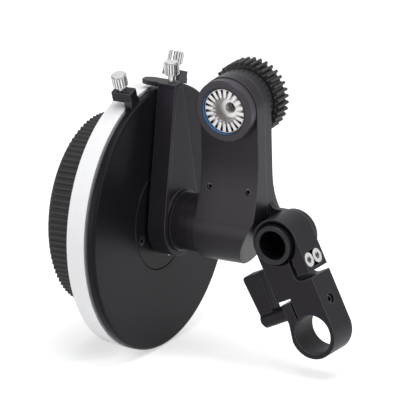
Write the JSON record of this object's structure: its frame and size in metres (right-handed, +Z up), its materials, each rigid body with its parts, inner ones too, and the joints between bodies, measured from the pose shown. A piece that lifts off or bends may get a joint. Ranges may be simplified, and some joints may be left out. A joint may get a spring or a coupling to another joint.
{
  "type": "follow focus unit",
  "caption": "Rod-mounted follow focus: ribbed hand wheel with marking ring and hard stops, upright gearbox, drive gear at the back and crank port in front, on a tilted clamp link.",
  "frame": {"origin": "centre of the rod bore in the clamp link", "axes": "+Y along the rod away from the operator, +X along the wheel's shaft from the wheel to the gearbox, +Z up"},
  "size_m": [0.1084, 0.1, 0.1127],
  "materials": {
    "black_anodised": "satin",
    "black_grip": "matte",
    "white_ring": "matte",
    "bright_steel": "satin",
    "dark_steel": "satin",
    "blue_anodised": "satin",
    "bearing_bronze": "satin",
    "gear_steel": "satin",
    "black_gear": "satin"
  },
  "bodies": {
    "clamp": {"clamp_link": "black_anodised", "clamp_screws": "bright_steel"},
    "lever": {"clamp_lever": "black_anodised", "lever_stud": "dark_steel", "lever_washer": "dark_steel"},
    "tube": {"swing_tube": "black_anodised", "tube_collar": "black_anodised"},
    "gearbox": {"front_housing": "black_anodised", "rear_housing": "black_anodised", "case_screws": "dark_steel", "front_set_screws": "dark_steel", "port_ring": "black_anodised", "port_sleeve": "blue_anodised", "port_bush": "bearing_bronze", "drive_bush": "bearing_bronze", "riser_bushes": "bearing_bronze", "neck": "black_anodised", "neck_ring": "black_anodised", "shaft_bushes": "bearing_bronze", "index_arm": "black_anodised", "arm_set_screw": "dark_steel", "pointer": "black_anodised"},
    "pointer_thumbscrew": {"pointer_screw": "bright_steel"},
    "wheel": {"wheel_disc": "black_anodised", "wheel_drum": "black_anodised", "marking_ring": "white_ring", "grip_knob": "black_grip", "grip_screws": "dark_steel", "grip_cap": "black_anodised", "hub_plate": "black_anodised", "hub_screws": "bright_steel", "wheel_shaft": "gear_steel", "shaft_screw": "dark_steel", "input_crown_wheel": "gear_steel"},
    "riser": {"riser_shaft": "gear_steel", "lower_pinion": "gear_steel", "upper_pinion": "gear_steel"},
    "drive": {"drive_shaft": "bright_steel", "output_crown_wheel": "gear_steel", "drive_gear": "black_gear", "gear_washer": "dark_steel", "gear_screw": "dark_steel"},
    "stop_a": {"stop_a_block": "black_anodised"},
    "stop_a_thumbscrew": {"stop_a_screw": "bright_steel"},
    "stop_b": {"stop_b_block": "black_anodised"},
    "stop_b_thumbscrew": {"stop_b_screw": "bright_steel"}
  },
  "joints": [
    {"name": "lever_turn", "type": "hinge", "parent": "clamp", "child": "lever", "pos_m": [-0.0042, 0, 0.00918], "axis": [0.9092, 0, 0.4163], "range_deg": [-360, 30]},
    {"name": "tube_slide", "type": "slide", "parent": "clamp", "child": "tube", "axis": [0, 1, 0], "range_m": [0, 0.008]},
    {"name": "gearbox_swing", "type": "hinge", "parent": "tube", "child": "gearbox", "pos_m": [-0.01519, 0.0082, 0.03319], "axis": [0, 1, 0], "range_deg": [-8, 150]},
    {"name": "wheel_turn", "type": "hinge", "parent": "gearbox", "child": "wheel", "pos_m": [-0.06969, 0.0045, 0.03219], "axis": [1, 0, 0], "range_deg": [-11.2, 16.2]},
    {"name": "riser_turn", "type": "hinge", "parent": "gearbox", "child": "riser", "pos_m": [-0.03709, 0.0045, 0.05619], "axis": [0, 0, 1], "range_deg": [-22.8, 32.8]},
    {"name": "drive_turn", "type": "hinge", "parent": "gearbox", "child": "drive", "pos_m": [-0.03709, 0.0045, 0.08069], "axis": [0, 1, 0], "range_deg": [-11.4, 16.4]},
    {"name": "stop_a_slide_round", "type": "hinge", "parent": "wheel", "child": "stop_a", "pos_m": [-0.06969, 0.0045, 0.03219], "axis": [1, 0, 0], "range_deg": [0, 130]},
    {"name": "stop_b_slide_round", "type": "hinge", "parent": "wheel", "child": "stop_b", "pos_m": [-0.06969, 0.0045, 0.03219], "axis": [1, 0, 0], "range_deg": [-130, 0]},
    {"name": "stop_a_screw_turn", "type": "hinge", "parent": "stop_a", "child": "stop_a_thumbscrew", "pos_m": [-0.07579, -0.01264, 0.08655], "axis": [0, -0.3007, 0.9537], "range_deg": [0, 360]},
    {"name": "stop_b_screw_turn", "type": "hinge", "parent": "stop_b", "child": "stop_b_thumbscrew", "pos_m": [-0.07579, 0.02631, 0.08485], "axis": [0, 0.3827, 0.9239], "range_deg": [0, 360]},
    {"name": "pointer_screw_turn", "type": "hinge", "parent": "gearbox", "child": "pointer_thumbscrew", "pos_m": [-0.06419, 0.0045, 0.08819], "axis": [0, 0, 1], "range_deg": [0, 360]}
  ],
  "couplings": [
    {"joint": "riser_turn", "follows": "wheel_turn", "ratio": 2},
    {"joint": "drive_turn", "follows": "wheel_turn", "ratio": 1}
  ]
}
